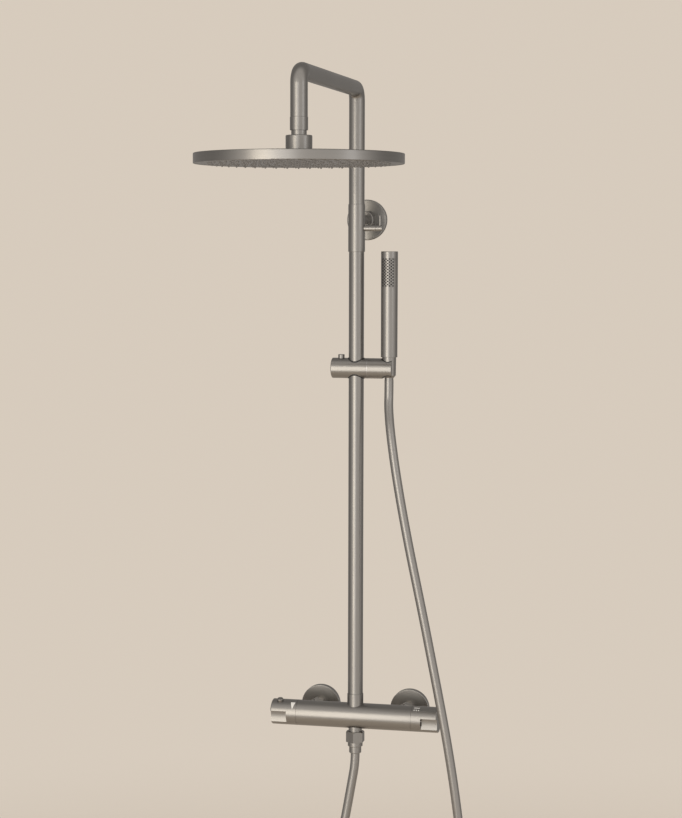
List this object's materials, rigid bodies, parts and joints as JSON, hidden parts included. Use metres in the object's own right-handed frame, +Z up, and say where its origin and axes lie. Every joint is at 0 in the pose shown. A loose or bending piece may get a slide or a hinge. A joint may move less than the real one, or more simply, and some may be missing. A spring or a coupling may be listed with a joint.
{
  "type": "rainfall shower column",
  "caption": "Wall-mounted shower column with a bar valve, riser, swivelling arm with a round rain head, and a stick handset on a sliding holder with its hose.",
  "frame": {"origin": "on the wall plane, midway between the two water inlets, at the height of the bar valve's axis", "axes": "+Z up along the riser, +Y into the wall, +X to the right seen from the front"},
  "size_m": [0.3442, 0.602, 1.4587],
  "materials": {
    "gunmetal": "satin brushed gun-metal coating",
    "brass": "machined",
    "rubber": "matt soft rubber",
    "plastic": "moulded",
    "steel": "plain",
    "marking": "white enamel inlay",
    "hose": "smooth metallic grey sleeve"
  },
  "bodies": {
    "root": {"valve_body": "gunmetal", "thermostatic_cartridge": "plastic", "flow_cartridge": "plastic", "cartridge_ring_nuts": "brass", "wall_unions": "brass", "union_nuts": "gunmetal", "sealing_washers": "rubber", "check_valves": "plastic", "wall_roses": "gunmetal", "outlet_nipple": "gunmetal", "hose_nut": "gunmetal", "hose_ferrule": "gunmetal", "shower_hose": "hose", "riser_collar": "gunmetal", "riser_tube": "gunmetal", "tube_seals": "rubber", "bracket_sleeve": "gunmetal", "arm_spigot": "brass", "bracket_plate": "steel", "bracket_rose": "gunmetal", "bracket_stem": "gunmetal", "bracket_grub_screw": "steel", "lock_boss": "gunmetal"},
    "lock_lever": {"lock_lever": "gunmetal", "lock_pin": "gunmetal", "clamp_screw": "steel"},
    "arm": {"arm_tube": "gunmetal", "arm_end_collar": "gunmetal"},
    "ball_stem": {"ball_stem": "gunmetal"},
    "head": {"head_hub": "gunmetal", "ball_seat": "plastic", "head_casing": "gunmetal", "head_ring_nut": "brass", "head_face_plate": "gunmetal", "nozzle_mat": "rubber"},
    "temperature_knob": {"temperature_knob": "gunmetal", "temperature_marker": "marking", "temperature_spindle": "brass", "temperature_screw": "steel", "temperature_cap": "gunmetal", "stop_spring": "steel"},
    "stop_button": {"stop_button": "gunmetal"},
    "flow_knob": {"flow_knob": "gunmetal", "flow_marker": "marking", "flow_spindle": "brass", "flow_screw": "steel", "flow_cap": "gunmetal"},
    "slider_liner": {"slider_liner": "plastic"},
    "slider": {"slider_body": "gunmetal", "brake_pad": "plastic", "slider_spring": "steel", "pivot_axle": "brass", "pivot_washer": "plastic"},
    "slider_button": {"slider_button": "gunmetal"},
    "holder": {"holder_body": "gunmetal", "holder_insert": "plastic"},
    "handset": {"handset_body": "gunmetal", "spray_face": "rubber", "handset_tube": "plastic", "hose_cone": "gunmetal"}
  },
  "joints": [
    {"name": "arm_swivel", "type": "hinge", "parent": "root", "child": "arm", "pos_m": [0, -0.078, 0.9], "axis": [0, 0, 1], "range_deg": [-60, 60]},
    {"name": "lock_lever_turn", "type": "hinge", "parent": "root", "child": "lock_lever", "pos_m": [0.03, -0.078, 0.7838], "axis": [1, 0, 0], "range_deg": [0, 90]},
    {"name": "head_turn", "type": "hinge", "parent": "arm", "child": "ball_stem", "pos_m": [0, -0.438, 0.92], "axis": [0, 0, 1], "continuous": true},
    {"name": "head_tilt", "type": "hinge", "parent": "ball_stem", "child": "head", "pos_m": [0, -0.438, 0.899], "axis": [1, 0, 0], "range_deg": [-10, 10]},
    {"name": "temperature_turn", "type": "hinge", "parent": "root", "child": "temperature_knob", "pos_m": [-0.11, -0.078, 0], "axis": [-1, 0, 0], "range_deg": [-150, 40]},
    {"name": "stop_button_press", "type": "slide", "parent": "temperature_knob", "child": "stop_button", "axis": [0, 0.342, -0.9397], "range_m": [0, 0.002], "stiffness_N_per_m": 700, "springref_m": -0.001, "deforming": ["stop_spring"]},
    {"name": "flow_turn", "type": "hinge", "parent": "root", "child": "flow_knob", "pos_m": [0.11, -0.078, 0], "axis": [1, 0, 0], "range_deg": [-90, 90]},
    {"name": "slider_slide", "type": "slide", "parent": "root", "child": "slider_liner", "axis": [0, 0, 1], "range_m": [-0.4, 0.028], "deforming": ["shower_hose"]},
    {"name": "slider_turn", "type": "hinge", "parent": "slider_liner", "child": "slider", "pos_m": [0, -0.078, 0.5617], "axis": [0, 0, 1], "range_deg": [-90, 45]},
    {"name": "slider_button_press", "type": "slide", "parent": "slider", "child": "slider_button", "axis": [0, 0, -1], "range_m": [0, 0.0025], "stiffness_N_per_m": 800, "springref_m": -0.001, "deforming": ["slider_spring"]},
    {"name": "holder_tilt", "type": "hinge", "parent": "slider", "child": "holder", "pos_m": [0.0199, -0.078, 0.5617], "axis": [1, 0, 0], "range_deg": [-15, 30]},
    {"name": "handset_lift", "type": "slide", "parent": "holder", "child": "handset", "axis": [0, 0, 1], "range_m": [0, 0.03]}
  ]
}
